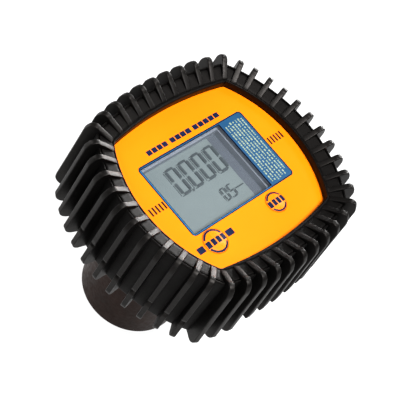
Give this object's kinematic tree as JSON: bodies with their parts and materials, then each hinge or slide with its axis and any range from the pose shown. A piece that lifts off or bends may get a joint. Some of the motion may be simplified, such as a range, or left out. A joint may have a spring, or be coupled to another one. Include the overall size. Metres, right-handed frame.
{
  "type": "flow meter",
  "caption": "In-line oval gear flow meter: digital display head in a finned rubber boot on a round metering body with two threaded ports",
  "frame": {"origin": "centre of the plan outline on the plane of the flat back face of the metering body", "axes": "+Z out of the display, +Y towards the outlet port and the top of the display, +X to the right of the display, which is the longest direction"},
  "size_m": [0.1068, 0.0944, 0.1022],
  "materials": {
    "boot_rubber": "matte, moulded",
    "dark_plastic": "matte, moulded",
    "seal_rubber": "matte",
    "label_film": "semi-gloss printed film",
    "clear_window": "clear, gloss",
    "lcd_glass": "grey-green display",
    "board_green": "solder-masked board",
    "steel": "turned stainless steel",
    "chip_black": "moulded package",
    "key_plastic": "film-covered key",
    "battery_wrap": "shrink-sleeved cell",
    "spring_metal": "nickel-plated spring strip",
    "body_bronze": "dark bronze hard coat on aluminium, satin",
    "lead_wire": "insulated wire",
    "gear_plastic": "moulded filled plastic",
    "magnet_metal": "nickel-plated magnet",
    "bush_metal": "carbon-filled bush"
  },
  "bodies": {
    "meter": {"rubber_boot": "boot_rubber", "head_housing": "dark_plastic", "front_cover": "dark_plastic", "cover_gasket": "seal_rubber", "face_label": "label_film", "display_window": "clear_window", "lcd_cell": "lcd_glass", "lcd_frame": "dark_plastic", "contact_strips": "seal_rubber", "circuit_board": "board_green", "board_screws": "steel", "board_components": "chip_black", "reset_switch": "chip_black", "cal_switch": "chip_black", "battery_cell": "battery_wrap", "battery_contacts": "spring_metal", "battery_holder": "dark_plastic", "battery_cover": "dark_plastic", "battery_cover_seal": "seal_rubber", "battery_cover_screws": "steel", "cover_screws": "steel", "head_screws": "steel", "meter_body": "body_bronze", "head_gasket": "seal_rubber", "sensor_probe": "steel", "sensor_leads": "lead_wire", "rear_cover": "body_bronze", "rear_cover_ring": "seal_rubber", "rear_cover_screws": "steel", "gear_shaft_a": "steel", "gear_shaft_b": "steel", "inlet_strainer": "steel"},
    "reset_key": {"reset_key": "key_plastic"},
    "cal_key": {"cal_key": "key_plastic"},
    "gear_a": {"oval_gear_a": "gear_plastic", "gear_bush_a": "bush_metal", "gear_magnets": "magnet_metal"},
    "gear_b": {"oval_gear_b": "gear_plastic", "gear_bush_b": "bush_metal"}
  },
  "joints": [
    {"name": "reset_press", "type": "slide", "parent": "meter", "child": "reset_key", "axis": [0, 0, -1], "range_m": [0, 0.0006], "stiffness_N_per_m": 400},
    {"name": "cal_press", "type": "slide", "parent": "meter", "child": "cal_key", "axis": [0, 0, -1], "range_m": [0, 0.0006], "stiffness_N_per_m": 400},
    {"name": "gear_a_spin", "type": "hinge", "parent": "meter", "child": "gear_a", "pos_m": [0.00775, 0.004, 0.01875], "axis": [0, 0, 1], "continuous": true},
    {"name": "gear_b_spin", "type": "hinge", "parent": "meter", "child": "gear_b", "pos_m": [-0.00775, 0.004, 0.01875], "axis": [0, 0, 1], "continuous": true}
  ],
  "couplings": [
    {"joint": "gear_b_spin", "follows": "gear_a_spin", "ratio": -1}
  ]
}
